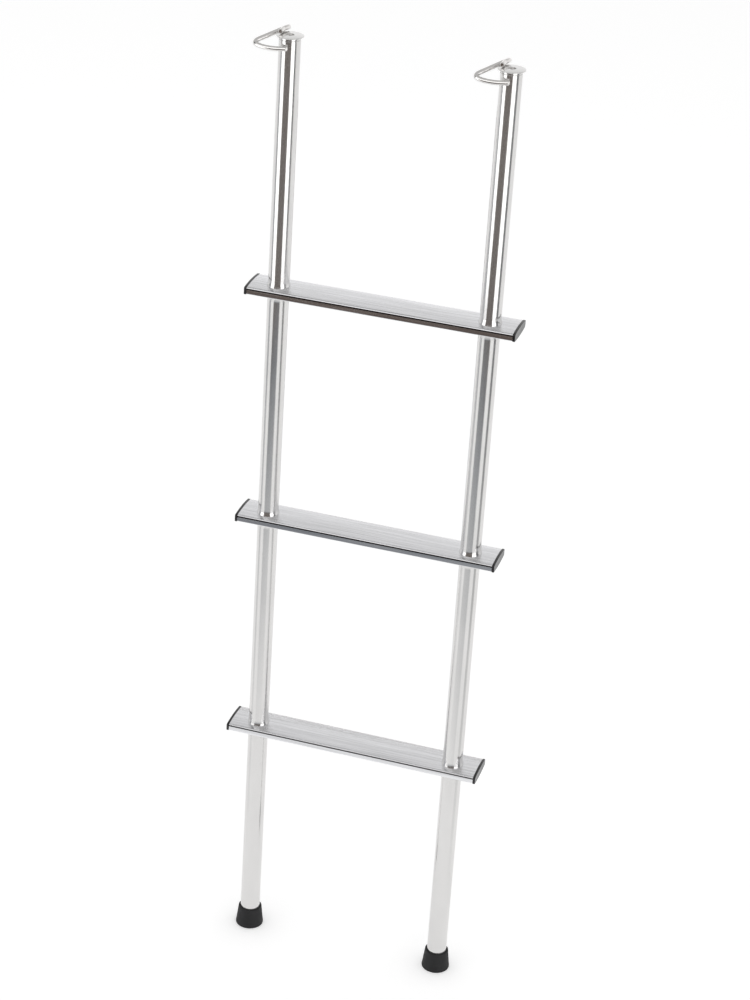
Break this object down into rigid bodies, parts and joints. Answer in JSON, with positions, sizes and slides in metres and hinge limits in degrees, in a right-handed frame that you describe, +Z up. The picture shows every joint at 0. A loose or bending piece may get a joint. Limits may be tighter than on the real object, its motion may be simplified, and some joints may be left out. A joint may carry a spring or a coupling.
{
  "type": "boat boarding ladder",
  "caption": "Rigid hook-on boarding ladder: polished round tube rails, flat hollow treads with black end caps, rubber feet and a bent-rod eye on each rail top",
  "frame": {"origin": "on the floor, at the centre of the ladder's bounding box in plan", "axes": "+Z up along the rails; X along the treads, with the hooks' points towards -X; +Y towards the back of the treads, -Y is the side a climber faces from"},
  "size_m": [0.3344, 0.0492, 1.2264],
  "materials": {
    "polished_aluminium": "polished, bright-anodised tube with mirror-like lengthwise reflections",
    "satin_aluminium": "satin extrusion with fine lengthwise lines",
    "bright_steel": "bright drawn steel rod",
    "zinc_steel": "zinc plated",
    "black_plastic": "moulded black plastic with a low sheen",
    "black_rubber": "matt black rubber"
  },
  "bodies": {
    "root": {"left_rail": "polished_aluminium", "right_rail": "polished_aluminium", "lower_tread": "satin_aluminium", "middle_tread": "satin_aluminium", "upper_tread": "satin_aluminium", "lower_tread_left_cap": "black_plastic", "lower_tread_right_cap": "black_plastic", "middle_tread_left_cap": "black_plastic", "middle_tread_right_cap": "black_plastic", "upper_tread_left_cap": "black_plastic", "upper_tread_right_cap": "black_plastic", "left_foot": "black_rubber", "right_foot": "black_rubber", "left_foot_washer": "zinc_steel", "right_foot_washer": "zinc_steel", "left_top_disc": "polished_aluminium", "right_top_disc": "polished_aluminium", "left_disc_screw": "bright_steel", "right_disc_screw": "bright_steel", "left_disc_nut": "zinc_steel", "right_disc_nut": "zinc_steel", "left_hook": "bright_steel", "right_hook": "bright_steel"}
  },
  "joints": []
}
